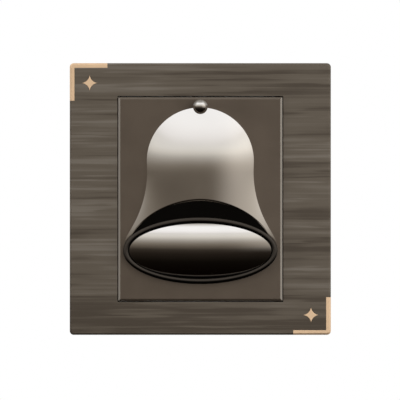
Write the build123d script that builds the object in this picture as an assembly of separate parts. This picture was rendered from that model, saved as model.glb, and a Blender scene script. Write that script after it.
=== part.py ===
from build123d import *
import os
from math import atan, cos, radians, sin, sqrt, tan

# Spring-back doorbell switch for a standard wall box: a snap-on plate, a hinged key with a bell in
# relief, and a bridge contact behind it. X runs to the right, Z up, and the front faces -Y. The wall
# is the plane Y = 0 and the origin lies midway between the two fixing slots. Sizes are millimetres.

os.makedirs("parts", exist_ok=True)

# Front plate
plate_width = 86.0
plate_height = 89.5
plate_depth = 10.0  # wall to front face
plate_skin = 2.0
plate_rim = 1.8
plate_corner = 1.3
plate_bevel = 0.6
plate_lift = 0.2  # rim to wall
cavity_corner = 0.6
collar_wall = 1.2
collar_depth = 1.2
pry_width = 10.0
pry_depth = 1.2

# Gold inlays in the plate
trim_length = 12.4
trim_width = 1.55
trim_skin = 0.3
trim_wrap = 1.6  # how far the trim reaches down the plate's side
star_reach = 2.55
star_waist = 0.46 * star_reach  # between two points
star_inset = 6.55  # star centre to both edges of the plate
star_sink = 0.3
star_proud = 0.1

# Key
key_width = 54.0
key_height = 67.0
key_gap = 0.4  # above and below the key
key_side_gap = 0.3
key_proud = 0.6
key_skin = 2.0
key_wall = 1.4
key_skirt = 2.2
key_bevel = 0.65
key_rib = 1.2
key_rib_depth = 1.4
rib_place = 0.48  # rib distance from the middle, as a share of the half width or height
key_travel_deg = 2.5

# Key hinge
pin_radius = 1.5
pin_length = 3.6
lug_radius = 2.1
lug_width = 3.0
lug_clearance = 0.4
hinge_inset = 4.5  # hinge axis below the key's upper edge
ear_wall = 1.0
ear_width = 3.0
snap_squeeze = 0.8  # how much narrower the ear's mouth is than the pin
running_gap = 0.05

# Snap hooks of the plate and the key
hook_thickness = 1.4
hook_reach = 0.9
hook_barb = 0.9
hook_end = 0.6  # hook tip to wall
hook_play = 0.25
plate_hook_width = 7.0
plate_hook_place = 24.0
plate_hook_inset = 2.6  # hook's outer face to the flange's edge
key_hook_width = 5.0
key_hook_place = 14.0
key_hook_inset = 4.0

# Bell, all in proportion to half its mouth
bell_margin = 1.6  # mouth to the key's side edge
finial_margin = 0.8  # ball to the key's upper edge
bell_rise_share = 1.288  # height of the ball's top above the key's middle, in half mouths
bell_half = min(key_width / 2 - bell_margin, (key_height / 2 - finial_margin) / bell_rise_share)
dome_radius = 0.693 * bell_half
dome_z = 0.492 * bell_half
relief_depth = 0.315 * bell_half
relief_side = 0.9  # upright edge of the relief at the top and the rim
body_arc = 1.103 * bell_half  # level arc across the bell above the waist
swell_arc = 0.985 * bell_half  # tight upright arc above the waist
swell_deg = 19.0  # tilt at which it goes over into the dome's wide arc
swell_start = 0.024 * bell_half  # its start above the waist
swell_ease = 0.1 * bell_half  # how softly it starts
waist_half = 0.689 * bell_half
waist_z = 0.354 * bell_half
flare_deg = 30.0
waist_arc = 1.417 * bell_half
rim_arc = 0.394 * bell_half
shell_wall = 1.2
lip_half = 0.953 * bell_half
lip_rise = 0.654 * bell_half
ring_rise = 0.433 * bell_half
ring_width = 1.75
ring_bevel = 0.55
ring_height = 3.2
bezel_floor = 1.0
mouth_tilt_deg = 6.5
mouth_fit = 0.15
disc_gap = 0.3
disc_crown = 0.145 * bell_half
disc_sink = 0.4  # disc edge below the ring's crest
finial_radius = 0.0945 * bell_half
finial_height = 3.0  # ball centre in front of the key
finial_pin = 1.0
finial_gap = 0.1

# Base
flange_gap = 0.95
flange_thickness = 3.0
flange_corner = 3.0
flange_lip = 1.2
flange_lip_height = 1.5
screw_spacing = 60.3
slot_length = 5.0
slot_radius = 2.25
slot_land = 2.65  # slot to box wall
box_height = 44.0
box_depth = 24.0
box_wall = 2.0
box_corner = 2.0
box_bevel = 1.0
case_rib_width = 1.4
case_rib_height = 0.9
case_rib_place = 14.0
case_rib_setback = 4.0  # rib's end to the box's rear face
panel_width = 26.0
panel_height = 12.0
panel_sink = 0.4
panel_z = 9.0

# Mechanism cover
cover_thickness = 2.0
cover_ledge = 1.0
cover_fit = 0.1
guide_wall = 1.6
guide_depth = 2.2
tongue_width = 8.0
tongue_length = 6.0

# Plunger and moving contact
plunger_z = -8.0
plunger_radius = 4.0
plunger_bevel = 0.6
presser_radius = 2.6
presser_gap = 0.2
plunger_reach = 3.4  # plunger's face in front of the cover
collar_play = 0.3
carrier_half = 5.0
carrier_cheek = 1.5
carrier_wall = 1.6
window_length = 9.0
window_play = 0.2
tail_radius = 1.7
tail_length = 2.8
bridge_length = 23.0
bridge_width = 6.0
strip_thickness = 0.8
strip_corner = 1.0
tip_radius = 1.8
tip_height = 0.9
tip_place = 9.0
contact_margin = 0.05  # contacts apart at full travel

# Springs
return_coil = 2.7
return_wire = 0.3
return_turns = 4
contact_coil = 2.1
contact_wire = 0.25
contact_turns = 5
spring_gap = 0.02
coil_steps = 12  # straight lengths in a turn
wire_sides = 6

# Terminals
post_width = 7.0
post_gap = 0.5  # post to box wall
post_length = 9.0
post_bevel = 0.4
wire_radius = 1.75
wire_depth = 8.0
pocket_wall = 1.2
pocket_play = 0.2
pocket_depth = 8.0
clamp_radius = 1.25
clamp_shank = 1.2
clamp_place = 4.0  # clamp screw to the post's rear end
clamp_clear = 0.1  # screw tip to the wire's way
clamp_head = 2.4
clamp_head_height = 1.8
clamp_slot = 0.6
clamp_slot_depth = 0.6
access_gap = 0.3
fixed_start = 6.8

# Levels along Y
plate_front = -plate_depth
plate_back = plate_front + plate_skin
key_front = plate_front - key_proud
key_back = key_front + key_skin
skirt_back = key_back + key_skirt
flange_front = -flange_thickness
hook_tip = -hook_end
cover_back = flange_front + cover_thickness
guide_end = cover_back + guide_depth
tongue_tip = cover_back + tongue_length
plunger_face = flange_front - plunger_reach
carrier_front = guide_end + collar_play
window_front = carrier_front + carrier_wall
window_back = window_front + window_length
carrier_back = window_back + carrier_wall
bridge_front = window_back - strip_thickness
box_floor = box_depth - box_wall
hinge_y = flange_front - lug_clearance - lug_radius

# Places across the front
flange_width = plate_width - 2 * (plate_rim + flange_gap)
flange_height = plate_height - 2 * (plate_rim + flange_gap)
box_width = screw_spacing - slot_length - 2 * slot_land
aperture_width = key_width + 2 * key_side_gap
aperture_height = key_height + 2 * key_gap
hinge_z = key_height / 2 - hinge_inset
lug_start = key_width / 2 - key_wall - ear_width - pin_length - lug_width
pin_start = lug_start + lug_width
ear_start = pin_start + lug_clearance
key_hook_z = key_hook_inset - key_height / 2
plate_hook_x = plate_hook_inset - flange_width / 2
post_end = box_width / 2 - box_wall - post_gap
post_start = post_end - post_width
wire_x = post_end - post_width / 2

# Key travel carried to the plunger and the contacts
plunger_travel = (hinge_z - plunger_z) * radians(key_travel_deg)
tip_face = window_back + tip_height
fixed_tip_face = tip_face + plunger_travel + contact_margin
strip_front = fixed_tip_face + tip_height
strip_back = strip_front + strip_thickness

# Bell outline: an arc at the waist, a straight flare and an arc at the rim
flare = radians(flare_deg)
flare_run = (bell_half - waist_half - (waist_arc + rim_arc) * (1 - cos(flare))) / sin(flare)
rim_z = waist_z - (waist_arc + rim_arc) * sin(flare) - flare_run * cos(flare)
finial_z = bell_half * bell_rise_share - finial_radius
bell_levels = 9
dome_levels = 8
dome_end_deg = 8.0  # where the dome ends under the ball, from its top
relief_end = key_front - 2 * relief_depth  # a plane in front of the whole relief


def prism(outline, back, front):
    """Raise an outline, drawn in X and Z as seen from the front, between two depths."""
    plane = Plane(origin=(0, back, 0), x_dir=(1, 0, 0), z_dir=(0, -1, 0))
    return extrude(plane * outline, amount=back - front)


def rod(x, z, radius, back, front):
    """A round post along Y."""
    return prism(Pos(x, z) * Circle(radius), back, front)


def pin(y, z, radius, start, end):
    """A round post along X."""
    plane = Plane(origin=(start, y, z), x_dir=(0, 1, 0), z_dir=(1, 0, 0))
    return extrude(plane * Circle(radius), amount=end - start)


def block(x_range, y_range, z_range):
    """A square-edged block between three pairs of planes."""
    spans = [high - low for low, high in (x_range, y_range, z_range)]
    middle = [(high + low) / 2 for low, high in (x_range, y_range, z_range)]
    return Pos(*middle) * Box(*spans)


def around(centre, half):
    """The range that reaches half to both sides of a centre."""
    return (centre - half, centre + half)


def both_sides(shape):
    """A shape on the right together with its mirror image on the left."""
    return shape + mirror(shape, about=Plane.YZ)


def opposite(shape):
    """The shape turned half a turn about the middle of the plate."""
    return Rot(0, 180, 0) * shape


def front_edges(shape):
    """The edges of the shape's front face."""
    return shape.edges().group_by(Axis.Y)[0]


def rear_edges(shape):
    """The edges of the shape's rear face."""
    return shape.edges().group_by(Axis.Y)[-1]


def hook_profile(root, tip):
    """A snap hook's side view: the leg along the second axis, the barb to the first."""
    return Polygon(
        (0, root),
        (hook_thickness, root),
        (hook_thickness, tip - hook_barb),
        (hook_thickness + hook_reach, tip - hook_barb),
        (hook_thickness, tip),
        (0, tip),
        align=None,
    )


def hook_window_profile():
    """Side view of the room for a snap hook in the flange: flexing room, ledge and barb pocket."""
    flex = -(hook_reach + hook_play)
    ledge = hook_thickness + hook_play
    catch = hook_tip - hook_barb - hook_play
    return Polygon(
        (flex, flange_front),
        (ledge, flange_front),
        (ledge, catch),
        (ledge + hook_reach, catch),
        (ledge + hook_reach, 0),
        (flex, 0),
        align=None,
    )


def at_plate_hooks(profile, width):
    """The profile as four hooks or windows at the plate's left and right sides, barbs inward."""
    left = None
    for middle in (-plate_hook_place, plate_hook_place):
        plane = Plane(origin=(plate_hook_x, 0, middle - width / 2))
        hook = extrude(plane * profile, amount=width)
        left = hook if left is None else left + hook
    return both_sides(left)


def at_key_hooks(profile, width):
    """The profile as two hooks or windows at the key's lower edge, barbs downward."""
    origin = (key_hook_place - width / 2, 0, key_hook_z)
    plane = Plane(origin=origin, x_dir=(0, 0, -1), z_dir=(1, 0, 0))
    return both_sides(extrude(plane * profile, amount=width))


def hinge_arm(radius, root, start, width):
    """A plate across X that carries the hinge axis in its round end and stands on a root plane."""
    plane = Plane(origin=(start, 0, 0), x_dir=(0, 1, 0), z_dir=(1, 0, 0))
    stem = Pos((root + hinge_y) / 2, hinge_z) * Rectangle(abs(root - hinge_y), 2 * radius)
    return extrude(plane * (stem + Pos(hinge_y, hinge_z) * Circle(radius)), amount=width)


def plate_envelope(inset, bevel):
    """The plate's outer form, drawn in by the inset at the front and the sides."""
    outline = RectangleRounded(
        plate_width - 2 * inset, plate_height - 2 * inset, plate_corner - inset
    )
    form = prism(outline, -plate_lift, plate_front + inset)
    return chamfer(front_edges(form), length=bevel)


def make_corner_trim():
    """The upper left angle: a thin skin of the plate's form, kept along both edges of the corner."""
    inner_bevel = plate_bevel - (2 - sqrt(2)) * trim_skin
    skin = plate_envelope(0, plate_bevel) - plate_envelope(trim_skin, inner_bevel)
    left, top = -plate_width / 2, plate_height / 2
    angle = Pos(left + trim_length / 2, top - trim_width / 2) * Rectangle(trim_length, trim_width)
    angle += Pos(left + trim_width / 2, top - trim_length / 2) * Rectangle(trim_width, trim_length)
    return skin & prism(angle, plate_front + trim_wrap, plate_front)


def star_outline():
    """A four-point star with hollow sides, in the upper left corner of the plate."""
    diagonal = star_waist / sqrt(2)
    tips = [(star_reach, 0), (0, star_reach), (-star_reach, 0), (0, -star_reach)]
    waists = [(diagonal, diagonal), (-diagonal, diagonal), (-diagonal, -diagonal), (diagonal, -diagonal)]
    sides = [
        ThreePointArc(tips[i], waists[i], tips[(i + 1) % len(tips)]) for i in range(len(tips))
    ]
    return Pos(star_inset - plate_width / 2, plate_height / 2 - star_inset) * make_face(sides)


def make_star():
    """The upper left star inlay."""
    return prism(star_outline(), plate_front + star_sink, plate_front - star_proud)


def make_front_plate(inlays):
    """The tray-shaped plate with its opening, collar, snap hooks and pry slot, less the inlays."""
    plate = plate_envelope(0, plate_bevel)
    cavity = RectangleRounded(
        plate_width - 2 * plate_rim, plate_height - 2 * plate_rim, cavity_corner
    )
    plate -= prism(cavity, -plate_lift, plate_back)
    plate += prism(
        Rectangle(aperture_width + 2 * collar_wall, aperture_height + 2 * collar_wall),
        plate_back + collar_depth,
        plate_back,
    )
    opening = RectangleRounded(aperture_width, aperture_height, key_side_gap)
    plate -= prism(opening, plate_back + collar_depth, plate_front)
    plate += at_plate_hooks(hook_profile(plate_back, hook_tip), plate_hook_width)
    plate -= block(
        around(0, pry_width / 2),
        (-plate_lift - pry_depth, -plate_lift),
        (-plate_height / 2, plate_rim - plate_height / 2),
    )
    for inlay in inlays:
        plate -= inlay
    return plate


def make_button_key():
    """The bevelled key with its skirt, ribs, hinge lugs, stop hooks and presser."""
    key = prism(Rectangle(key_width, key_height), skirt_back, key_front)
    key = chamfer(front_edges(key), length=key_bevel)
    inner_width = key_width - 2 * key_wall
    inner_height = key_height - 2 * key_wall
    key -= prism(Rectangle(inner_width, inner_height), skirt_back, key_back)
    ribs = Sketch()
    for side in (-1, 1):
        ribs += Pos(side * rib_place * key_width / 2, 0) * Rectangle(key_rib, inner_height)
        ribs += Pos(0, side * rib_place * key_height / 2) * Rectangle(inner_width, key_rib)
    key += prism(ribs, key_back + key_rib_depth, key_back)
    key += both_sides(
        hinge_arm(lug_radius, key_back, lug_start, lug_width)
        + pin(hinge_y, hinge_z, pin_radius, pin_start, pin_start + pin_length)
    )
    key += at_key_hooks(hook_profile(key_back, hook_tip), key_hook_width)
    key += rod(0, plunger_z, presser_radius, plunger_face - presser_gap, key_back)
    return key - rod(0, finial_z, finial_pin + running_gap, key_back, key_front)


def bell_half_width(z):
    """Half the bell's width at a height."""
    arc_end = waist_z - waist_arc * sin(flare)
    run_end = arc_end - flare_run * cos(flare)
    if z > dome_z:
        return sqrt(dome_radius**2 - (z - dome_z) ** 2)
    if z >= waist_z:
        return waist_half + (dome_radius - waist_half) * (z - waist_z) / (dome_z - waist_z)
    if z >= arc_end:
        return waist_half + waist_arc - sqrt(waist_arc**2 - (waist_z - z) ** 2)
    if z >= run_end:
        return waist_half + waist_arc * (1 - cos(flare)) + (arc_end - z) * tan(flare)
    return bell_half - rim_arc + sqrt(rim_arc**2 - (z - rim_z) ** 2)


def bell_depth(z):
    """How far the bell's middle stands off the key: level to the waist, a tight arc, then a wide one."""
    swell = radians(swell_deg)
    join = swell_arc * sin(swell)
    drop = swell_arc * (1 - cos(swell))
    run = dome_z + dome_radius - waist_z - join
    end = 2 * atan((relief_depth - relief_side - drop) / run) - swell
    wide_arc = run / (sin(end) - sin(swell))
    above = z - waist_z - swell_start
    up = (above + sqrt(above**2 + swell_ease**2)) / 2
    if up < join:
        return relief_depth - swell_arc + sqrt(swell_arc**2 - up**2)
    along = up - join + wide_arc * sin(swell)
    return relief_depth - drop - wide_arc * cos(swell) + sqrt(wide_arc**2 - along**2)


def bell_side(z):
    """Height of the bell's upright edge: up to the level arc above the waist, falling to the rim below."""
    level = max(z, waist_z)
    edge = bell_depth(level) - body_arc + sqrt(body_arc**2 - bell_half_width(level) ** 2)
    return edge + (relief_side - edge) * (level - z) / (waist_z - rim_z)


def bell_section(half, depth, side):
    """A level section of the bell: a low arch on two upright edges."""
    return make_face(
        [
            ThreePointArc((-half, -side), (0, -depth), (half, -side)),
            Polyline((half, -side), (half, 0), (-half, 0), (-half, -side)),
        ]
    )


def bell_loft(levels, inset):
    """The bell between the first and the last level, drawn in by the inset."""
    sections = []
    for z in levels:
        section = bell_section(bell_half_width(z) - inset, bell_depth(z) - inset, bell_side(z))
        sections.append(Plane(origin=(0, key_front, z)) * section)
    return loft(sections)


def bell_dome():
    """The rounded crown of the bell."""
    step = (90 - dome_end_deg) / (dome_levels - 1)
    turns = [radians(dome_end_deg + i * step) for i in range(dome_levels)]
    return bell_loft([dome_z + dome_radius * cos(turn) for turn in turns], 0)


def bell_skirt(inset):
    """The flared part of the bell below the dome, drawn in by the inset."""
    step = (rim_z - dome_z) / (bell_levels - 1)
    return bell_loft([dome_z + i * step for i in range(bell_levels)], inset)


def mouth_oval(half, rise):
    """An oval about the middle of the bell's mouth."""
    return Pos(0, rim_z) * Ellipse(half, rise)


def make_bell_body():
    """The bell, cored out below the dome, with its mouth cut free and a seat for the ball."""
    body = bell_dome() + bell_skirt(0) - bell_skirt(shell_wall)
    mouth = mouth_oval(lip_half, lip_rise) + mouth_oval(bell_half + mouth_fit, ring_rise + mouth_fit)
    body -= prism(mouth, key_front, relief_end)
    body -= Pos(0, key_front - finial_height, finial_z) * Sphere(finial_radius + finial_gap)
    return body - rod(0, finial_z, finial_pin + finial_gap, key_front, key_front - finial_height)


def make_bell_finial():
    """The ball with its pin through the key."""
    ball = Pos(0, key_front - finial_height, finial_z) * Sphere(finial_radius)
    return ball + rod(0, finial_z, finial_pin, key_back, key_front - finial_height)


def make_mouth_bezel():
    """The dish that fills the bell's mouth, with the bevelled oval bead on its floor."""
    upper = Ellipse(lip_half - mouth_fit, lip_rise - mouth_fit)
    upper &= Pos(0, lip_rise / 2) * Rectangle(2 * lip_half, lip_rise)
    outline = Pos(0, rim_z) * upper + mouth_oval(bell_half, ring_rise)
    floor = prism(outline, key_front, key_front - bezel_floor)
    inner = mouth_oval(bell_half - ring_width, ring_rise - ring_width)
    bead = prism(mouth_oval(bell_half, ring_rise) - inner, key_front, relief_end)
    above = block(around(0, bell_half + ring_width), (-2 * relief_depth, 0), around(0, bell_half))
    bead -= Pos(0, key_front - ring_height, rim_z) * Rot(mouth_tilt_deg, 0, 0) * above
    bead = chamfer(bead.faces().sort_by(Axis.Y)[0].edges(), length=ring_bevel)
    return floor + bead


def make_mouth_disc():
    """The oval cap: a double-curved crown, tilted with the bead and cut upright to the oval."""
    half = bell_half - ring_width - disc_gap
    rise = ring_rise - ring_width - disc_gap
    long_arc = (half**2 + disc_crown**2) / (2 * disc_crown)
    short_arc = (rise**2 + disc_crown**2) / (2 * disc_crown)
    reach = 1.2 * rise
    sagitta = short_arc - sqrt(short_arc**2 - reach**2)
    crown = make_face(
        [
            ThreePointArc((sagitta, -reach), (0, 0), (sagitta, reach)),
            Polyline((sagitta, reach), (relief_depth, reach), (relief_depth, -reach), (sagitta, -reach)),
        ]
    )
    plane = Plane(origin=(0, 0, 0), x_dir=(0, 1, 0), z_dir=(1, 0, 0))
    axis = Axis((0, long_arc, 0), (0, 0, 1))
    sweep_deg = 40.0
    cap = revolve((plane * crown).rotate(axis, -sweep_deg / 2), axis=axis, revolution_arc=sweep_deg)
    top = key_front - ring_height + disc_sink - disc_crown
    cap = Pos(0, top, rim_z) * Rot(mouth_tilt_deg, 0, 0) * cap
    return cap & prism(mouth_oval(half, rise), key_front - bezel_floor, relief_end)


def make_base_housing():
    """Flange and box in one moulding, with hinge ears, snap windows and terminal pockets."""
    base = prism(RectangleRounded(flange_width, flange_height, flange_corner), 0, flange_front)
    lip_outline = RectangleRounded(flange_width, flange_height, flange_corner)
    lip_outline -= RectangleRounded(
        flange_width - 2 * flange_lip, flange_height - 2 * flange_lip, flange_corner - flange_lip
    )
    base += prism(lip_outline, flange_front, flange_front - flange_lip_height)
    shell = prism(RectangleRounded(box_width, box_height, box_corner), box_depth, flange_front)
    base += chamfer(rear_edges(shell), length=box_bevel)
    inner_width = box_width - 2 * box_wall
    inner_height = box_height - 2 * box_wall
    base -= prism(Rectangle(inner_width, inner_height), box_floor, flange_front)
    base -= prism(
        Rectangle(inner_width + 2 * cover_ledge, inner_height + 2 * cover_ledge),
        cover_back,
        flange_front,
    )
    base += rod(0, plunger_z, tail_radius, box_floor, box_floor - tail_length)
    base += both_sides(
        block(
            (fixed_start, post_start - 2 * strip_thickness),
            (strip_back, box_floor),
            around(plunger_z, bridge_width / 2),
        )
    )
    cheek = post_width / 2 + pocket_play
    for side in (-1, 1):
        middle = plunger_z + side * (cheek + pocket_wall / 2)
        base += both_sides(
            block(
                (post_start, box_width / 2 - box_wall),
                (box_floor - pocket_depth, box_floor),
                around(middle, pocket_wall / 2),
            )
        )
    base -= both_sides(rod(wire_x, plunger_z, wire_radius, box_depth, box_floor))
    access = pin(
        box_floor - clamp_place,
        plunger_z,
        clamp_head + access_gap,
        box_width / 2 - box_wall,
        box_width / 2,
    )
    base -= both_sides(access)
    base -= block(
        around(0, tongue_width / 2 + hook_play),
        (tongue_tip - hook_barb - hook_play, tongue_tip + hook_play),
        around(0, box_height / 2),
    ) - block(around(0, box_width), (flange_front, box_depth), around(0, inner_height / 2))
    for side in (-1, 1):
        base += both_sides(
            block(
                around(case_rib_place, case_rib_width / 2),
                (0, box_depth - case_rib_setback),
                around(side * box_height / 2, case_rib_height),
            )
        )
    base -= prism(Pos(0, panel_z) * Rectangle(panel_width, panel_height), box_depth, box_depth - panel_sink)
    base += both_sides(hinge_ear())
    base -= at_plate_hooks(hook_window_profile(), plate_hook_width + 2 * hook_play)
    base -= at_key_hooks(hook_window_profile(), key_hook_width + 2 * hook_play)
    slot = Pos(screw_spacing / 2, 0) * SlotOverall(slot_length, 2 * slot_radius)
    return base - both_sides(prism(slot, 0, flange_front))


def hinge_ear():
    """The right bearing ear, open to the front by a mouth that the pin snaps through."""
    bore = pin_radius + running_gap
    ear = hinge_arm(bore + ear_wall, flange_front, ear_start, ear_width)
    ear -= pin(hinge_y, hinge_z, bore, ear_start, ear_start + ear_width)
    mouth = pin_radius - snap_squeeze / 2
    return ear - block(
        (ear_start, ear_start + ear_width),
        (hinge_y - 2 * bore, hinge_y),
        around(hinge_z, mouth),
    )


def make_mechanism_cover():
    """The plate over the box, with the plunger's guide and two tongues that snap into the box."""
    ledge_inset = box_wall - cover_ledge + cover_fit
    outline = Rectangle(box_width - 2 * ledge_inset, box_height - 2 * ledge_inset)
    cover = prism(outline, cover_back, flange_front)
    cover += rod(0, plunger_z, plunger_radius + guide_wall, guide_end, cover_back)
    cover -= rod(0, plunger_z, plunger_radius + running_gap, guide_end, flange_front)
    root = box_height / 2 - box_wall - hook_play - hook_thickness
    plane = Plane(origin=(tongue_width / 2, 0, root), x_dir=(0, 0, 1), z_dir=(-1, 0, 0))
    tongue = extrude(plane * hook_profile(cover_back, tongue_tip), amount=tongue_width)
    return cover + tongue + mirror(tongue, about=Plane.XY)


def make_plunger():
    """Round head in the guide, contact carrier with its window, and the tail in the return spring."""
    head = rod(0, plunger_z, plunger_radius, carrier_front, plunger_face)
    head = chamfer(front_edges(head), length=plunger_bevel)
    opening = bridge_width / 2 + window_play
    carrier = block(
        around(0, carrier_half),
        (carrier_front, carrier_back),
        around(plunger_z, opening + carrier_cheek),
    )
    carrier -= block(
        around(0, carrier_half), (window_front, window_back), around(plunger_z, opening)
    )
    return head + carrier + rod(0, plunger_z, tail_radius, carrier_back + tail_length, carrier_back)


def make_contact_bridge():
    """The moving strip that lies across the carrier's window."""
    strip = Pos(0, plunger_z) * RectangleRounded(bridge_length, bridge_width, strip_corner)
    return prism(strip, window_back, bridge_front)


def pair(shape):
    """Two separate solids, on the right and mirrored to the left."""
    return Compound(children=[shape, mirror(shape, about=Plane.YZ)])


def make_fixed_contact():
    """The right fixed strip, bent back along the terminal post."""
    strip = block(
        (fixed_start, post_start), (strip_front, strip_back), around(plunger_z, bridge_width / 2)
    )
    return strip + block(
        (post_start - strip_thickness, post_start),
        (strip_front, box_floor - strip_thickness),
        around(plunger_z, bridge_width / 2),
    )


def make_terminal_post():
    """The right terminal post, bored from the rear for the wire and from the side for its screw."""
    post = block(
        (post_start, post_end), (box_floor - post_length, box_floor), around(plunger_z, post_width / 2)
    )
    post = chamfer(front_edges(post), length=post_bevel)
    post -= rod(wire_x, plunger_z, wire_radius, box_floor, box_floor - wire_depth)
    return post - pin(box_floor - clamp_place, plunger_z, clamp_radius, wire_x, post_end)


def make_terminal_screw():
    """The right clamp screw, backed out so that the wire's way is free."""
    y = box_floor - clamp_place
    head_end = post_end + clamp_head_height
    screw = pin(y, plunger_z, clamp_shank, wire_x + wire_radius + clamp_clear, post_end)
    screw += pin(y, plunger_z, clamp_head, post_end, head_end)
    return screw - block(
        (head_end - clamp_slot_depth, head_end),
        around(y, clamp_head),
        around(plunger_z, clamp_slot / 2),
    )


def coil_spring(coil, wire, turns, start, end):
    """A coil spring on the plunger's axis between two planes, drawn in short straight lengths."""
    seat = wire + spring_gap
    count = turns * coil_steps
    rise = (end - start - 2 * seat) / count
    points = []
    for i in range(count + 1):
        turn = radians(360 * i / coil_steps)
        points.append((coil * cos(turn), start + seat + i * rise, plunger_z + coil * sin(turn)))
    path = Polyline(*points)
    section = Plane(origin=path @ 0, z_dir=path % 0) * RegularPolygon(wire, wire_sides)
    return sweep(section, path=path, transition=Transition.RIGHT)


trim = make_corner_trim()
star = make_star()
inlays = {
    "corner_trim_upper_left": trim,
    "corner_trim_lower_right": opposite(trim),
    "star_inlay_upper_left": star,
    "star_inlay_lower_right": opposite(star),
}
fixed_contact = make_fixed_contact()
terminal_post = make_terminal_post()
pieces = {
    "front_plate": make_front_plate(inlays.values()),
    **inlays,
    "button_key": make_button_key(),
    "bell_body": make_bell_body(),
    "bell_finial": make_bell_finial(),
    "mouth_bezel": make_mouth_bezel(),
    "mouth_disc": make_mouth_disc(),
    "base_housing": make_base_housing(),
    "mechanism_cover": make_mechanism_cover(),
    "plunger": make_plunger(),
    "return_spring": coil_spring(return_coil, return_wire, return_turns, carrier_back, box_floor),
    "contact_bridge": make_contact_bridge(),
    "contact_spring": coil_spring(
        contact_coil, contact_wire, contact_turns, window_front, bridge_front
    ),
    "moving_contact_tips": pair(rod(tip_place, plunger_z, tip_radius, tip_face, window_back)),
    "fixed_contact_left": mirror(fixed_contact, about=Plane.YZ),
    "fixed_contact_right": fixed_contact,
    "fixed_contact_tips": pair(rod(tip_place, plunger_z, tip_radius, strip_front, fixed_tip_face)),
    "terminal_post_left": mirror(terminal_post, about=Plane.YZ),
    "terminal_post_right": terminal_post,
    "terminal_screws": pair(make_terminal_screw()),
}
for name, shape in pieces.items():
    export_step(shape, f"parts/{name}.step")
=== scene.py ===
import logging
from dataclasses import dataclass
from enum import Enum
from math import cos, pi, radians, sin, tan

import bmesh
import bpy
import numpy as np
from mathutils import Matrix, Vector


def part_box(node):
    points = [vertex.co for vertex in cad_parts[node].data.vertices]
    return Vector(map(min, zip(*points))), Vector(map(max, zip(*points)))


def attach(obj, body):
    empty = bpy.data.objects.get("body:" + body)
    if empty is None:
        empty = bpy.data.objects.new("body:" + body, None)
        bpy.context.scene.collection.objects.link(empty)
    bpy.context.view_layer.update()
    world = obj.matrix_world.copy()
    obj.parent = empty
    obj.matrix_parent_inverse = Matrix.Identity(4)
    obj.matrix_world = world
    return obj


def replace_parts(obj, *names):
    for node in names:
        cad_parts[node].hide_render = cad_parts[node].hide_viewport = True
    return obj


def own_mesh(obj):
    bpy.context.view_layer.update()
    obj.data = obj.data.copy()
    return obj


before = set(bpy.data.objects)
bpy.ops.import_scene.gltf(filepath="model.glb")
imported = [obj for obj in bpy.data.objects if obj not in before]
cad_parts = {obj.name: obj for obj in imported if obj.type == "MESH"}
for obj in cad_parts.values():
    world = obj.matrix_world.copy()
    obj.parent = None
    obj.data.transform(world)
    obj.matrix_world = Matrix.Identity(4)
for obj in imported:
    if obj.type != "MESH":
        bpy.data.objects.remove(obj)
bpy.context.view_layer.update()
log = logging.getLogger("doorbell_switch")

Span = tuple[float, float]
Point = tuple[float, float, float]
Colour = tuple[float, float, float]
Socket = bpy.types.NodeSocket
Sockets = dict[str, Socket]
Outputs = bpy.types.NodeOutputs
MM = 0.001
MOUTH_LEAN = radians(6.5)  # how far the bell's mouth leans forward at its top
BLACK = (0.0, 0.0, 0.0)
WHITE = (1.0, 1.0, 1.0)
FULL_SPAN = (0.0, 1.0)
NOISE_SPAN = (0.3, 0.7)  # nearly all values of a noise lie between these


class Body(Enum):
    """The bodies of the frame that the scene's own pieces ride on."""

    KEY = "key"
    PLUNGER = "plunger"


class Slot(Enum):
    """The record's material slots of the scene's own pieces."""

    PLATED = "bell_plated"
    POLISHED = "bell_polished"
    BLACK = "bezel_black"
    STEEL = "spring_steel"


def screen_colour(red: int, green: int, blue: int) -> Colour:
    """Turn a colour on a screen into linear light.

    Args:
        red: Its red, from 0 to 255.
        green: Its green, likewise.
        blue: Its blue, likewise.

    Returns:
        The colour in linear light, from 0 to 1.
    """
    share = np.array([red, green, blue]) / 255
    # the usual curve of screen colours
    linear = np.where(share <= 0.04045, share / 12.92, ((share + 0.055) / 1.055) ** 2.4)
    return tuple(float(value) for value in linear)


def with_alpha(colour: Colour | Socket) -> tuple[float, ...] | Socket:
    """Give a plain colour its fourth number, and leave a socket as it is."""
    return colour if isinstance(colour, Socket) else (*colour, 1.0)


def oval_measure(
    across: np.ndarray, up: np.ndarray, half: float, rise: float, power: float = 2.0
) -> np.ndarray:
    """How far out points lie in an oval, 1 on its edge: the sum of two shares raised to a power.

    Args:
        across: Distances from the middle along the oval's width.
        up: Distances from the middle along its height.
        half: Half its width.
        rise: Half its height.
        power: 2 for an ellipse, less for an oval that is drawn in between its tips.

    Returns:
        The measure of each point.
    """
    return np.abs(across / half) ** power + np.abs(up / rise) ** power


# Meshes


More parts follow.
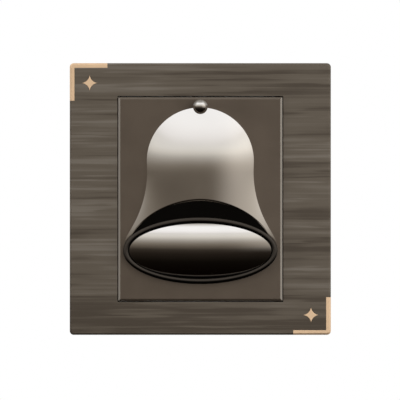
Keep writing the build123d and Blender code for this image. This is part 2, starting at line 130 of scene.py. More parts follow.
class GridMesh:
    """A mesh put together from numpy grids of points."""

    merge = 0.0005 * MM  # points nearer to each other than this become one
    sharp = radians(50)  # edges that turn by more than this stay sharp

    def __init__(self) -> None:
        """Start with no points."""
        self.points: list[np.ndarray] = []
        self.quads: list[np.ndarray] = []
        self.count = 0

    def add(self, x: np.ndarray, y: np.ndarray, z: np.ndarray) -> None:
        """Add one grid: neighbours in its rows and columns are joined by quads.

        Args:
            x: Grid of places to the right, in metres.
            y: Grid of depths, of the same shape or one that stretches to it.
            z: Grid of heights, likewise.
        """
        grid = np.stack(np.broadcast_arrays(x, y, z), axis=-1)
        rows, columns = grid.shape[:2]
        index = np.arange(rows * columns).reshape(rows, columns) + self.count
        corners = (index[:-1, :-1], index[:-1, 1:], index[1:, 1:], index[1:, :-1])
        self.points.append(grid.reshape(-1, 3))
        self.quads.append(np.stack(corners, axis=-1).reshape(-1, 4))
        self.count += rows * columns

    def piece(self, name: str, body: Body, slot: Slot, finish: "Finish") -> bpy.types.Object:
        """Close the seams and poles, shade the mesh smooth and hang it on its body.

        Args:
            name: The piece's name.
            body: The body that it rides on.
            slot: The record's material slot; not used.
            finish: The finish that dresses it.

        Returns:
            The finished object.
        """
        mesh = bpy.data.meshes.new(name)
        mesh.from_pydata(np.concatenate(self.points).tolist(), [], np.concatenate(self.quads).tolist())
        work = bmesh.new()
        work.from_mesh(mesh)
        bmesh.ops.remove_doubles(work, verts=work.verts, dist=self.merge)
        bmesh.ops.recalc_face_normals(work, faces=work.faces)
        work.to_mesh(mesh)
        work.free()
        mesh.shade_smooth()
        mesh.set_sharp_from_angle(angle=self.sharp)
        mesh.materials.append(finish.material())
        piece = bpy.data.objects.new(name, mesh)
        bpy.context.scene.collection.objects.link(piece)
        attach(piece, body.value)
        log.info("piece %s on %s: %d faces", name, body.value, len(mesh.polygons))
        return piece


def dress_nodes(finish: "Finish", *nodes: str) -> None:
    """Give CAD nodes a finish.

    Args:
        finish: The finish.
        nodes: The nodes' names.
    """
    for node in nodes:
        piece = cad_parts[node]
        if not piece.material_slots:
            piece.data.materials.append(None)
        for slot in piece.material_slots:
            slot.material = finish.material()
        log.info("node %s: %s", node, finish.name)


# Shaders


class NodeSheet:
    """Adds nodes to a tree, each with its values and links in one call."""

    mix_colours = (6, 7)  # a Mix node's inputs for two colours
    mix_result = 2  # and its output for their mix

    def __init__(self, tree: bpy.types.NodeTree) -> None:
        """Clear the tree and work on it."""
        self.tree = tree
        tree.nodes.clear()

    def add(self, kind: str, inputs: dict | None = None, **settings: object) -> bpy.types.Node:
        """Add a node.

        Args:
            kind: The node's type.
            inputs: Values or sockets by input name or number.
            settings: The node's own options.

        Returns:
            The new node.
        """
        node = self.tree.nodes.new(kind)
        for option, value in settings.items():
            setattr(node, option, value)
        for key, value in (inputs or {}).items():
            if isinstance(value, Socket):
                self.tree.links.new(value, node.inputs[key])
            else:
                node.inputs[key].default_value = value
        return node

    def maths(self, operation: str, *values: float | Socket) -> Socket:
        """Add a Math node and return its result."""
        return self.add("ShaderNodeMath", dict(enumerate(values)), operation=operation).outputs[0]

    def multiply(self, vector: Socket, factors: Socket | Point) -> Socket:
        """Multiply a vector's X, Y and Z by a factor each, or all of them by a single number's socket."""
        return self.add("ShaderNodeVectorMath", {0: vector, 1: factors}, operation="MULTIPLY").outputs[0]

    def dot(self, first: Socket, second: Socket | Point) -> Socket:
        """Return the dot product of two vectors."""
        inputs = {0: first, 1: second}
        return self.add("ShaderNodeVectorMath", inputs, operation="DOT_PRODUCT").outputs["Value"]

    def part(self, vector: Socket) -> Outputs:
        """Part a vector into its X, Y and Z."""
        return self.add("ShaderNodeSeparateXYZ", {0: vector}).outputs

    def stretch(self, value: Socket, span: Span, goal: Span = FULL_SPAN) -> Socket:
        """Carry a value smoothly from one span to another.

        Args:
            value: The value.
            span: The span that it comes from.
            goal: The span that it is carried to.

        Returns:
            The carried value, which stays inside the goal.
        """
        labels = ("Value", "From Min", "From Max", "To Min", "To Max")
        inputs = dict(zip(labels, (value, *span, *goal)))
        return self.add("ShaderNodeMapRange", inputs, interpolation_type="SMOOTHSTEP").outputs["Result"]

    def noise(self, vector: Socket, detail: float) -> Socket:
        """Add a Noise Texture of unit size and return its value."""
        inputs = {"Vector": vector, "Scale": 1.0, "Detail": detail, "Roughness": 0.5}
        return self.add("ShaderNodeTexNoise", inputs).outputs["Fac"]

    def mix(
        self, share: float | Socket, first: Colour | Socket, second: Colour | Socket, blend: str = "MIX"
    ) -> Socket:
        """Mix two colours.

        Args:
            share: The share of the second colour.
            first: The first colour.
            second: The second colour.
            blend: How they are mixed.

        Returns:
            The mixed colour.
        """
        inputs = {0: share} | dict(zip(self.mix_colours, map(with_alpha, (first, second))))
        node = self.add("ShaderNodeMix", inputs, data_type="RGBA", blend_type=blend)
        return node.outputs[self.mix_result]


class Effect:
    """A shader node group that several finishes share, built once."""

    name = "effect"
    inputs: tuple[str, ...] = ()
    outputs: tuple[str, ...] = ()
    vectors = ("Vector", "Normal")  # the inputs and outputs that are no plain numbers

    def tree(self) -> bpy.types.NodeTree:
        """Find the group, which is built at its first use.

        Returns:
            The group's tree.
        """
        found = bpy.data.node_groups.get(self.name)
        if found:
            return found
        tree = bpy.data.node_groups.new(self.name, "ShaderNodeTree")
        for end, labels in (("INPUT", self.inputs), ("OUTPUT", self.outputs)):
            for label in labels:
                kind = "NodeSocketVector" if label in self.vectors else "NodeSocketFloat"
                tree.interface.new_socket(label, in_out=end, socket_type=kind)
        sheet = NodeSheet(tree)
        start = sheet.add("NodeGroupInput").outputs
        sheet.add("NodeGroupOutput", self.draw(sheet, start))
        return tree

    def place(self, sheet: NodeSheet, inputs: dict[str, float | Socket]) -> Outputs:
        """Place the group in a material with its own values, and return its outputs."""
        return sheet.add("ShaderNodeGroup", inputs, node_tree=self.tree()).outputs

    def draw(self, sheet: NodeSheet, start: Outputs) -> Sockets:
        """Draw the nodes between the group's ends.

        Args:
            sheet: The group's sheet.
            start: The group's inputs as sockets.

        Returns:
            The output sockets by name.
        """
        raise NotImplementedError


class StreakEffect(Effect):
    """Streaks to the right that wander a little: fine ones, broad bands, short strokes and patches."""

    name = "long_streaks"
    inputs = ("Vector", "Run", "Pitch", "Wander")
    outputs = ("Fine", "Bands", "Strokes", "Patches")
    drift = (22.0, 22.0, 60.0)  # waves per metre of the noise that shifts the streaks
    # factors on the fine streaks' waves, along X and Y and across
    others = {"Bands": (0.5, 0.5, 0.3), "Strokes": (3.0, 3.0, 1.6), "Patches": (4.0, 4.0, 0.4)}
    detail = 1.0
    fine_detail = 2.0

    def draw(self, sheet: NodeSheet, start: Outputs) -> Sockets:
        """Noise stretched along X and Y, on heights that another noise shifts.

        Args:
            sheet: The group's sheet.
            start: The group's inputs as sockets.

        Returns:
            The output sockets by name.
        """
        axis = sheet.part(start["Vector"])
        slow = sheet.noise(sheet.multiply(start["Vector"], self.drift), self.detail)
        shift = sheet.maths("SUBTRACT", slow, 0.5)
        height = sheet.maths("ADD", axis["Z"], sheet.maths("MULTIPLY", shift, start["Wander"]))
        along = [sheet.maths("MULTIPLY", axis[way], start["Run"]) for way in "XY"]
        across = sheet.maths("MULTIPLY", height, start["Pitch"])
        fine = sheet.add("ShaderNodeCombineXYZ", dict(enumerate((*along, across)))).outputs[0]
        sockets = {"Fine": sheet.noise(fine, self.fine_detail)}
        for label, factors in self.others.items():
            sockets[label] = sheet.noise(sheet.multiply(fine, factors), self.detail)
        return sockets


class GrainEffect(Effect):
    """A fine grain, and slow patches for uneven gloss."""

    name = "fine_grain"
    inputs = ("Vector", "Scale")
    outputs = ("Grain", "Patches")
    patch = (90.0, 90.0, 90.0)  # waves per metre of the patches
    detail = 2.0
    patch_detail = 3.0

    def draw(self, sheet: NodeSheet, start: Outputs) -> Sockets:
        """Two noises of the same vector, one far slower than the other.

        Args:
            sheet: The group's sheet.
            start: The group's inputs as sockets.

        Returns:
            The output sockets by name.
        """
        near = sheet.multiply(start["Vector"], start["Scale"])
        slow = sheet.multiply(start["Vector"], self.patch)
        grain, patches = sheet.noise(near, self.detail), sheet.noise(slow, self.patch_detail)
        return {"Grain": grain, "Patches": patches}


class EdgeEffect(Effect):
    """Rounded edge normals, and a mask of where edges are worn."""

    name = "worn_edges"
    inputs = ("Radius",)
    outputs = ("Edge", "Normal")
    samples = 6
    match = (0.995, 0.8)  # match of the rounded and the flat normal, from no edge to a full one

    def draw(self, sheet: NodeSheet, start: Outputs) -> Sockets:
        """The mask is where the rounded normal leaves the flat one.

        Args:
            sheet: The group's sheet.
            start: The group's inputs as sockets.

        Returns:
            The output sockets by name.
        """
        soft = sheet.add("ShaderNodeBevel", {"Radius": start["Radius"]}, samples=self.samples).outputs[0]
        flat = sheet.add("ShaderNodeNewGeometry").outputs["Normal"]
        return {"Edge": sheet.stretch(sheet.dot(soft, flat), self.match), "Normal": soft}


@dataclass(frozen=True)
class Finish:
    """A finish: a base colour, its gloss and what its nodes add."""

    name: str
    colour: Colour
    roughness: float
    metallic: float = 0.0
    specular: float = 0.5
    spread: float = 0.03  # how far the roughness varies either way
    depth: float = 0.003 * MM  # depth of the relief
    edge_radius: float = 0.15 * MM
    edge_share: float = 0.3  # how far worn edges take on their own colour

    def material(self) -> bpy.types.Material:
        """Find the material, which is built at its first use.

        Returns:
            The material.
        """
        found = bpy.data.materials.get(self.name)
        if found:
            return found
        material = bpy.data.materials.new(self.name)
        material.use_nodes = True
        sheet = NodeSheet(material.node_tree)
        plain = {"Metallic": self.metallic, "Specular IOR Level": self.specular}
        shader = sheet.add("ShaderNodeBsdfPrincipled", plain)
        place = sheet.add("ShaderNodeTexCoord").outputs["Object"]
        for label, socket in self.draw(sheet, place).items():
            sheet.tree.links.new(socket, shader.inputs[label])
        sheet.add("ShaderNodeOutputMaterial", {"Surface": shader.outputs[0]})
        return material

    def draw(self, sheet: NodeSheet, place: Socket) -> Sockets:
        """Draw the nodes that vary over the surface.

        Args:
            sheet: The material's sheet.
            place: Object coordinates.

        Returns:
            Sockets by the shader's input name.
        """
        raise NotImplementedError

    def tint(self, factor: float) -> Colour:
        """Return the base colour made lighter or darker by a factor."""
        return tuple(min(1.0, value * factor) for value in self.colour)

    def facing(self, sheet: NodeSheet) -> Outputs:
        """Part the way that the surface faces into X, Y and Z."""
        return sheet.part(sheet.add("ShaderNodeTexCoord").outputs["Normal"])

    def edges(self, sheet: NodeSheet) -> Outputs:
        """Place the worn edges."""
        return EdgeEffect().place(sheet, {"Radius": self.edge_radius})

    def wear(self, sheet: NodeSheet, face: Socket, edge: Socket, bare: Colour) -> Socket:
        """Bring a face's colour nearer to a bare one along its edges."""
        return sheet.mix(sheet.maths("MULTIPLY", edge, self.edge_share), face, bare)

    def gloss(self, sheet: NodeSheet, value: Socket, span: Span = NOISE_SPAN) -> Socket:
        """Let the roughness follow a value, by the spread either way."""
        return sheet.stretch(value, span, (self.roughness - self.spread, self.roughness + self.spread))

    def relief(self, sheet: NodeSheet, height: Socket, normal: Socket | None = None) -> Socket:
        """Raise a height on the surface.

        Args:
            sheet: The material's sheet.
            height: The height, from 0 to 1 of the depth.
            normal: The normal to start from, if it isn't the surface's own.

        Returns:
            The raised surface's normal.
        """
        inputs = {"Height": height, "Distance": self.depth, "Strength": 1.0}
        if normal is not None:
            inputs["Normal"] = normal
        return sheet.add("ShaderNodeBump", inputs).outputs[0]


@dataclass(frozen=True)
class StreakedFace(Finish):
    """The plate's face: brown-grey lacquer with long dark and light streaks, and a painted shade that
    darkens it towards its foot.
    """

    spread: float = -0.06  # light streaks are glossier
    depth: float = 0.02 * MM
    edge_share: float = 0.25
    dark: Colour = screen_colour(73, 65, 56)
    light: Colour = screen_colour(113, 106, 97)
    run: float = 12.0  # waves per metre along the streaks
    pitch: float = 620.0  # and across them
    wander: float = 0.25 * MM
    foot: Span = (-42.0 * MM, -26.0 * MM)  # heights between which a painted shade deepens the tone
    # painted shade: how far the tone darkens at the plate's foot
    painted_foot_shade: float = -0.34
    fine: Span = (1.7, -0.35)  # gain and offset that make a tone of the fine streaks
    layers: tuple[tuple[str, Span, Span], ...] = (
        ("Bands", NOISE_SPAN, (-0.2, 0.2)),
        ("Patches", NOISE_SPAN, (-0.12, 0.12)),
        ("Strokes", (0.28, 0.4), (-0.28, 0.0)),
        ("Strokes", (0.6, 0.72), (0.0, 0.28)),
    )  # streaks, the span of their values and the tones at its ends
    dark_tones: Span = (0.0, 0.5)  # tones from the dark colour to the plain one
    light_tones: Span = (0.5, 1.0)  # and from there to the light one

    def draw(self, sheet: NodeSheet, place: Socket) -> Sockets:
        """Streaks choose between dark, plain and light, and raise a slight relief.

        Args:
            sheet: The material's sheet.
            place: Object coordinates.

        Returns:
            Sockets by the shader's input name.
        """
        inputs = {"Vector": place, "Run": self.run, "Pitch": self.pitch, "Wander": self.wander}
        streaks = StreakEffect().place(sheet, inputs)
        edges = self.edges(sheet)
        # painted shade: the tone darkens towards the plate's foot
        deep = sheet.stretch(sheet.part(place)["Z"], self.foot, (self.painted_foot_shade, 0.0))
        tone = sheet.maths("ADD", deep, sheet.maths("MULTIPLY_ADD", streaks["Fine"], *self.fine))
        for label, span, tones in self.layers:
            tone = sheet.maths("ADD", tone, sheet.stretch(streaks[label], span, tones))
        face = sheet.mix(sheet.stretch(tone, self.dark_tones), self.dark, self.colour)
        face = sheet.mix(sheet.stretch(tone, self.light_tones), face, self.light)
        return {
            "Base Color": self.wear(sheet, face, edges["Edge"], self.light),
            "Roughness": self.gloss(sheet, tone, FULL_SPAN),
            "Normal": self.relief(sheet, streaks["Fine"], edges["Normal"]),
        }


@dataclass(frozen=True)
class SatinLacquer(Finish):
    """Plain satin lacquer with a very fine orange peel."""

    depth: float = 0.004 * MM
    grain: float = 2600.0  # waves per metre
    shade: float = 0.06
    edge_tint: float = 1.5

    def draw(self, sheet: NodeSheet, place: Socket) -> Sockets:
        """Slow patches vary the tone and gloss, and the grain the relief.

        Args:
            sheet: The material's sheet.
            place: Object coordinates.

        Returns:
            Sockets by the shader's input name.
        """
        grain = GrainEffect().place(sheet, {"Vector": place, "Scale": self.grain})
        edges = self.edges(sheet)
        cloud = sheet.stretch(grain["Patches"], NOISE_SPAN)
        face = sheet.mix(cloud, self.tint(1 - self.shade), self.tint(1 + self.shade))
        return {
            "Base Color": self.wear(sheet, face, edges["Edge"], self.tint(self.edge_tint)),
            "Roughness": self.gloss(sheet, grain["Patches"]),
            "Normal": self.relief(sheet, grain["Grain"], edges["Normal"]),
        }


@dataclass(frozen=True)
class HighlitCutEdgeLacquer(SatinLacquer):
    """Satin lacquer whose side bevels are cut through to bright metal, lightened as a painted highlight
    of the side light, and whose top bevel takes a little of it as a painted highlight of the light from
    above.
    """

    # bright-cut metal, made lighter as a painted highlight
    cut: Colour = (0.36, 0.33, 0.29)
    cut_highlight_turn: Span = (0.3, 0.6)  # turns to a side or up over which the cut and its painted highlight begin
    cut_metal: float = 0.3
    # painted highlight of the light from above on the top bevel
    top_highlight_share: float = 0.16

    def draw(self, sheet: NodeSheet, place: Socket) -> Sockets:
        """The lacquer, with the cut's metal and painted highlight where the surface turns from the front
        to a side or up.

        Args:
            sheet: The material's sheet.
            place: Object coordinates.

        Returns:
            Sockets by the shader's input name.
        """
        sockets = super().draw(sheet, place)
        turned = self.facing(sheet)
        # painted highlight: the side bevels are lighter as if lit from the sides, on bright-cut metal
        side = sheet.stretch(sheet.maths("ABSOLUTE", turned["X"]), self.cut_highlight_turn)
        # painted highlight: the top bevel is lighter as if lit from above
        top = sheet.stretch(turned["Z"], self.cut_highlight_turn, (0.0, self.top_highlight_share))
        bare = sheet.maths("ADD", side, top)
        sockets["Base Color"] = sheet.mix(bare, sockets["Base Color"], self.cut)
        sockets["Metallic"] = sheet.maths("MULTIPLY", bare, self.cut_metal)
        return sockets


@dataclass(frozen=True)
class DarkDish(Finish):
    """A black moulding, whose black also serves as painted shade inside the bell's hollow; its raised
    bead is dark grey where it faces up, a painted highlight of the light from above, and black as painted
    shade where it faces down.
    """

    depth: float = 0.0003 * MM
    grain: float = 1200.0  # waves per metre
    bead: Colour = screen_colour(63, 58, 53)
    bead_start: Span = (15.25 * MM, 15.55 * MM)  # distances square to the lean, over which grey begins
    bead_lit_facing: Span = (-0.5, 0.0)  # upward tilts over which the grey comes in, a painted highlight of the light from above
    foot: Span = (-26.0 * MM, -18.0 * MM)  # heights over which the grey draws back to the inner side, leaving painted shade on the outer flank
    # how much more the bead must face up at its foot to stay grey; the rest is painted shade
    bead_foot_shade_turn: float = 0.25

    def draw(self, sheet: NodeSheet, place: Socket) -> Sockets:
        """Grey comes in towards the bead's crest, but not where it faces down, nor outside at the foot:
        painted shade on the flanks that face away from the light above.

        Args:
            sheet: The material's sheet.
            place: Object coordinates.

        Returns:
            Sockets by the shader's input name.
        """
        grain = GrainEffect().place(sheet, {"Vector": place, "Scale": self.grain})
        crest = sheet.stretch(sheet.dot(place, (0.0, -1.0, -tan(MOUTH_LEAN))), self.bead_start)
        back = sheet.stretch(sheet.part(place)["Z"], self.foot, (-self.bead_foot_shade_turn, 0.0))
        # painted highlight and shade: grey only where the bead faces up
        up = sheet.stretch(sheet.maths("ADD", self.facing(sheet)["Z"], back), self.bead_lit_facing)
        return {
            "Base Color": sheet.mix(sheet.maths("MULTIPLY", crest, up), self.colour, self.bead),
            "Roughness": self.gloss(sheet, grain["Patches"]),
            "Normal": self.relief(sheet, grain["Grain"]),
        }


@dataclass(frozen=True)
class BrushedMetal(Finish):
    """Metal with fine drawn lines and uneven gloss."""

    metallic: float = 1.0
    spread: float = 0.04
    edge_share: float = 0.2
    run: float = 60.0  # waves per metre along the lines
    pitch: float = 9000.0  # and across them
    wander: float = 0.3 * MM
    shade: float = 0.05

    def draw(self, sheet: NodeSheet, place: Socket) -> Sockets:
        """Fine streaks vary the gloss and relief, slow patches the tone.

        Args:
            sheet: The material's sheet.
            place: Object coordinates.

        Returns:
            Sockets by the shader's input name.
        """
        inputs = {"Vector": place, "Run": self.run, "Pitch": self.pitch, "Wander": self.wander}
        lines = StreakEffect().place(sheet, inputs)
        patches = GrainEffect().place(sheet, {"Vector": place})["Patches"]
        edges = self.edges(sheet)
        pale = self.tint(1 + self.shade)
        face = sheet.mix(sheet.stretch(patches, NOISE_SPAN), self.tint(1 - self.shade), pale)
        return {
            "Base Color": self.wear(sheet, face, edges["Edge"], pale),
            "Roughness": self.gloss(sheet, lines["Fine"]),
            "Normal": self.relief(sheet, lines["Fine"], edges["Normal"]),
        }


@dataclass(frozen=True)
class PlatedMetal(Finish):
    """Smooth plated metal on curved pieces, with a faint cloudiness."""

    metallic: float = 1.0
    spread: float = 0.02
    depth: float = 0.0006 * MM
    grain: float = 1500.0  # waves per metre
    cloud_tint: float = 0.97

    def draw(self, sheet: NodeSheet, place: Socket) -> Sockets:
        """Slow patches cloud the gloss and tone, and the grain is barely raised.

        Args:
            sheet: The material's sheet.
            place: Object coordinates.

        Returns:
            Sockets by the shader's input name.
        """
        grain = GrainEffect().place(sheet, {"Vector": place, "Scale": self.grain})
        cloud = sheet.stretch(grain["Patches"], NOISE_SPAN)
        return {
            "Base Color": sheet.mix(cloud, self.tint(self.cloud_tint), self.colour),
            "Roughness": self.gloss(sheet, cloud, FULL_SPAN),
            "Normal": self.relief(sheet, grain["Grain"]),
        }


@dataclass(frozen=True)
class RimSheenMetal(PlatedMetal):
    """Plated metal that is polished in front, with a painted grey reflection on its upper sides, which
    are also duller and rougher.
    """

    # painted reflection: the grey that the ball's upper rim shows
    satin: Colour = (0.25, 0.23, 0.203)
    rim_sheen_turn: Span = (-0.8, -0.5)  # turns away from the front over which the painted reflection begins
    rim_sheen_rise: Span = (0.0, 0.7)  # upward tilts, likewise
    dulling: float = 0.7
    roughening: float = 0.5

    def draw(self, sheet: NodeSheet, place: Socket) -> Sockets:
        """The plating, duller, rougher and painted grey where the surface turns from the front and up: a
        painted reflection on the ball's upper rim.

        Args:
            sheet: The material's sheet.
            place: Object coordinates.

        Returns:
            Sockets by the shader's input name.
        """
        sockets = super().draw(sheet, place)
        turned = self.facing(sheet)
        away = sheet.stretch(turned["Y"], self.rim_sheen_turn)
        rim_sheen_share = sheet.maths("MULTIPLY", away, sheet.stretch(turned["Z"], self.rim_sheen_rise))
        sockets["Base Color"] = sheet.mix(rim_sheen_share, sockets["Base Color"], self.satin)
        sockets["Metallic"] = sheet.maths("MULTIPLY_ADD", rim_sheen_share, -self.dulling, self.metallic)
        sockets["Roughness"] = sheet.maths("MULTIPLY_ADD", rim_sheen_share, self.roughening, sockets["Roughness"])
        return sockets


PLATE_FACE = StreakedFace("streaked_lacquer", screen_colour(94, 86, 76), roughness=0.5)
KEY_SATIN = HighlitCutEdgeLacquer("plain_lacquer", screen_colour(86, 76, 66), roughness=0.42)
GOLD_TRIM = BrushedMetal("gold_inlay", screen_colour(236, 203, 167), roughness=0.42, metallic=0.15)
BELL_PLATED = PlatedMetal("satin_nickel", (0.93, 0.92, 0.91), roughness=0.11)
POLISHED = {"colour": (0.95, 0.94, 0.93), "depth": 0.0, "spread": 0.015}
BELL_POLISHED = PlatedMetal("bright_nickel", roughness=0.12, **POLISHED)
BALL_POLISHED = RimSheenMetal("ball_nickel", roughness=0.2, **POLISHED)
# black moulding; its black also stands in as painted shade inside the bell's hollow
BEZEL_BLACK = DarkDish("black_dish", (0.0012, 0.001, 0.0008), roughness=0.3, specular=0.15)
BASE_PLASTIC = SatinLacquer(
    "housing_moulding", (0.72, 0.72, 0.7), roughness=0.55, grain=3500.0, depth=0.02 * MM, shade=0.03
)
PLUNGER_PLASTIC = SatinLacquer(
    "plunger_moulding", (0.6, 0.6, 0.58), roughness=0.4, grain=3000.0, depth=0.006 * MM, shade=0.03
)
SPRING_STEEL = BrushedMetal("zinc_steel", (0.56, 0.56, 0.57), roughness=0.3)
CONTACT_BRASS = BrushedMetal("plain_brass", (0.72, 0.53, 0.24), roughness=0.3)
CONTACT_SILVER = BrushedMetal("silver_alloy", (0.83, 0.82, 0.8), roughness=0.25)


# Sub-assemblies


@dataclass
class FrontPlate:
    """The plate with its gold corner angles and stars."""

    plate: str = "front_plate"
    trims: tuple[str, ...] = (
        "corner_trim_upper_left",
        "corner_trim_lower_right",
        "star_inlay_upper_left",
        "star_inlay_lower_right",
    )

    def dress(self) -> None:
        """Give the plate its streaks and the inlays their gold."""
        dress_nodes(PLATE_FACE, self.plate)
        dress_nodes(GOLD_TRIM, *self.trims)


@dataclass
class Bell:
    """The bell in relief on the key: body, ball, black dish and polished cap.

    Lengths are metres. Shares and places are in half widths of the mouth.
    """

    half: float
    face: float  # depth of the key's front face
    dome_share: float = 0.693
    dome_place: float = 0.492
    relief_share: float = 0.315
    waist_share: float = 0.689
    waist_place: float = 0.354
    waist_arc_share: float = 1.417
    swell_arc_share: float = 0.985
    swell: float = radians(19)  # tilt at which the swell above the waist goes over into the dome
    swell_start_share: float = 0.024
    swell_ease_share: float = 0.1
    body_arc_share: float = 1.103  # level arc across the bell above the waist
    rim_ease: float = 0.95  # how far the arches flatten towards their edges at the rim
    waist_ease: float = 0.3  # share of the way down over which the edge starts to fall
    rim_arc_share: float = 0.394
    flare: float = radians(30)
    lip_share: float = 0.953
    lip_rise_share: float = 0.654
    lip_power: float = 1.85  # the lip's oval is drawn in a little between its tips
    ring_rise_share: float = 0.433
    ball_share: float = 0.0945
    ball_top_share: float = 1.288
    ball_stand: float = 3.0 * MM
    pin_radius: float = 1.0 * MM
    side: float = 0.9 * MM  # upright edge of the relief at the top and the rim
    wall: float = 1.2 * MM
    lip_round: float = 0.45 * MM
    fit: float = 0.15 * MM
    ring_width: float = 1.75 * MM
    ring_height: float = 3.2 * MM
    ring_crown: float = 0.7 * MM
    dish_floor: float = 1.0 * MM
    tilt: float = MOUTH_LEAN
    cap_gap: float = 0.3 * MM
    cap_sink: float = 0.4 * MM
    cap_crown_share: float = 0.145
    steps: int = 160  # grid steps across the bell, half as many as round the mouth
    dome_rows: int = 48  # on the dome, the ball and the cap
    skirt_rows: int = 64
    bead_rows: int = 24
    roll_rows: int = 8  # on the lip's rounding and the dish's floor
    ball_steps: int = 96
    halvings: int = 40
    lean_tries: int = 8

    def __post_init__(self) -> None:
        """Work out the lengths that several pieces share."""
        self.dome = self.dome_share * self.half
        self.dome_z = self.dome_place * self.half
        self.waist = self.waist_share * self.half
        self.waist_z = self.waist_place * self.half
        self.waist_arc = self.waist_arc_share * self.half
        self.rim_arc = self.rim_arc_share * self.half
        arcs = self.waist_arc + self.rim_arc
        run = (self.half - self.waist - arcs * (1 - cos(self.flare))) / sin(self.flare)
        self.rim_z = self.waist_z - arcs * sin(self.flare) - run * cos(self.flare)
        self.lip_half = self.lip_share * self.half
        self.lip_rise = self.lip_rise_share * self.half
        self.ring_rise = self.ring_rise_share * self.half
        self.cap_half = self.half - self.ring_width - self.cap_gap
        self.cap_rise = self.ring_rise - self.ring_width - self.cap_gap

    def half_width(self, z: np.ndarray) -> np.ndarray:
        """Half the bell's width at a height.

        From the top: a circle, a straight taper, an arc that flares out, a straight at the flare's
        angle, and an arc back to upright at the rim.

        Args:
            z: Heights.

        Returns:
            Half widths.
        """
        arc_end = self.waist_z - self.waist_arc * sin(self.flare)
        rim_start = self.rim_z + self.rim_arc * sin(self.flare)
        taper = (self.dome - self.waist) / (self.dome_z - self.waist_z)
        circle = np.sqrt(np.clip(self.dome**2 - (z - self.dome_z) ** 2, 0, None))
        drop = np.clip(self.waist_z - z, 0, self.waist_arc * sin(self.flare))
        waist = self.waist + self.waist_arc - np.sqrt(self.waist_arc**2 - drop**2)
        flare = waist + np.clip(arc_end - z, 0, None) * tan(self.flare)
        rise = np.clip(z - self.rim_z, 0, self.rim_arc * sin(self.flare))
        rim = self.half - self.rim_arc + np.sqrt(self.rim_arc**2 - rise**2)
        shapes = [circle, self.waist + (z - self.waist_z) * taper, flare]
        return np.select([z > self.dome_z, z > self.waist_z, z > rim_start], shapes, rim)

    def below_waist(self, z: np.ndarray) -> np.ndarray:
        """How far down from the waist to the rim a height is, from 0 to 1."""
        return np.clip((self.waist_z - z) / (self.waist_z - self.rim_z), 0, 1)

    def depth(self, z: np.ndarray) -> np.ndarray:
        """How far the bell's middle stands off the key.

        Below the waist it is level. From the waist up, a tight arc with a soft start goes over into a
        wide one that reaches the edge at the top.

        Args:
            z: Heights.

        Returns:
            Distances in front of the key.
        """
        arc = self.swell_arc_share * self.half
        rise = self.relief_share * self.half - self.side
        join = arc * sin(self.swell)
        drop = arc * (1 - cos(self.swell))
        run = self.dome_z + self.dome - self.waist_z - join
        end = 2 * np.arctan((rise - drop) / run) - self.swell
        wide = run / (sin(end) - sin(self.swell))
        above = z - self.waist_z - self.swell_start_share * self.half
        up = (above + np.hypot(above, self.swell_ease_share * self.half)) / 2
        near = np.sqrt(arc**2 - np.minimum(up, join) ** 2) - arc
        along = np.clip(up - join, 0, run) + wide * sin(self.swell)
        far = np.sqrt(wide**2 - along**2) - wide * cos(self.swell)
        return self.side + rise + near + far

    def arch(self, x: np.ndarray, z: np.ndarray, thin: np.ndarray) -> np.ndarray:
        """How far the bell stands off the key.

        Above the waist one level arc goes all along the bell. Below it the arc spans the width at
        each height, on an upright edge that grows lower, slowly at first, and flattens towards its
        edges.

        Args:
            x: Places to the right.
            z: Heights.
            thin: How much thinner than the outside the surface is.

        Returns:
            Distances in front of the key.
        """
        level = self.body_arc_share * self.half
        edge = self.depth(np.array(self.waist_z)) - level + np.sqrt(level**2 - self.waist**2)
        down = self.below_waist(z)
        soft = self.waist_ease
        fall = (np.hypot(down, soft) - soft) / (np.hypot(1, soft) - soft)
        side = edge + (self.side - edge) * fall
        depth = self.depth(z)
        rise = depth - side
        half = self.half_width(z)
        spread = np.where(down > 0, (half**2 + rise**2) / (2 * rise), level)
        plain = depth - spread + np.sqrt(np.maximum(spread**2 - x**2, 0))
        ease = self.rim_ease * fall * (1 - np.clip((plain - side) / rise, 0, 1))
        return side + (plain - side) * (1 - ease) - thin

    def in_mouth(self, x: np.ndarray, z: np.ndarray) -> np.ndarray:
        """Whether points lie in the mouth's cut: in the lip's oval or in the ring's oval.

        Args:
            x: Places to the right.
            z: Heights.

        Returns:
            True for each point in the cut.
        """
        up = z - self.rim_z
        lip = oval_measure(x, up, self.lip_half, self.lip_rise, self.lip_power)
        ring = oval_measure(x, up, self.half + self.fit, self.ring_rise + self.fit)
        return np.minimum(lip, ring) < 1

    def lip_heights(self, turn: np.ndarray) -> np.ndarray:
        """Where each meridian meets the mouth, found by halving the span of heights again and again.

        Args:
            turn: Angle of each meridian, 0 in the middle and a right angle at the sides.

        Returns:
            Heights of the lip.
        """
        low = np.full_like(turn, self.rim_z)
        high = np.full_like(turn, self.waist_z)
        for _ in range(self.halvings):
            middle = (low + high) / 2
            inside = self.in_mouth(self.half_width(middle) * np.sin(turn), middle)
            low, high = np.where(inside, middle, low), np.where(inside, high, middle)
        return high

